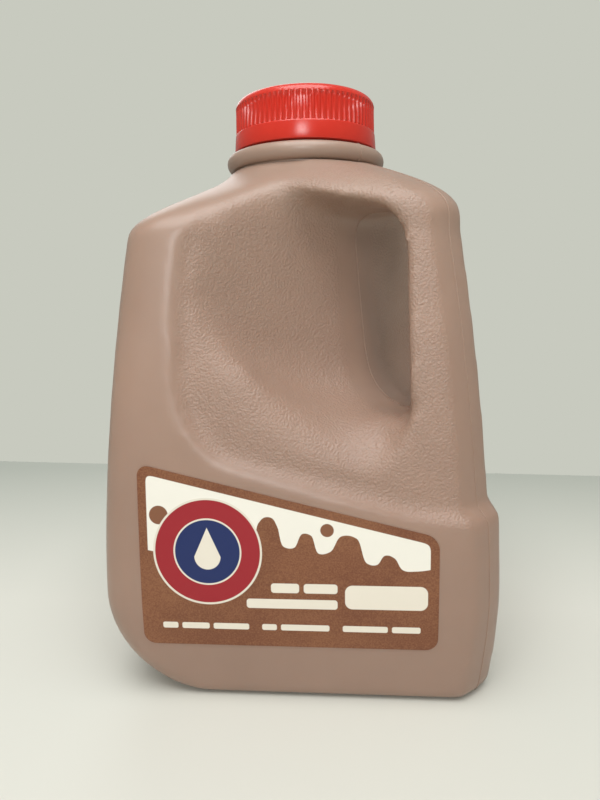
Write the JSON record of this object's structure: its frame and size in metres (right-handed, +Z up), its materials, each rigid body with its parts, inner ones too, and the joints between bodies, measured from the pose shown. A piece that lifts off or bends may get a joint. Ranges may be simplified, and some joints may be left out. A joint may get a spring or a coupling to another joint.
{
  "type": "plastic milk jug",
  "caption": "Square blow-moulded milk jug with a corner handle, full of chocolate milk, with a ribbed screw cap and a label on its front panel.",
  "frame": {"origin": "middle of the base, on the upright axis through the cap", "axes": "+Z up, -Y towards the front face with the label, the handle at the +X -Y corner"},
  "size_m": [0.0994, 0.0996, 0.1544],
  "materials": {
    "jug_plastic": "translucent natural polyethylene, lightly pebbled, milk showing through",
    "milk": "opaque chocolate milk",
    "cap_plastic": "moulded red polyethylene, satin",
    "label_film": "printed plastic film, satin"
  },
  "bodies": {
    "root": {"bottle": "jug_plastic", "milk": "milk", "cap": "cap_plastic", "label": "label_film"}
  },
  "joints": []
}
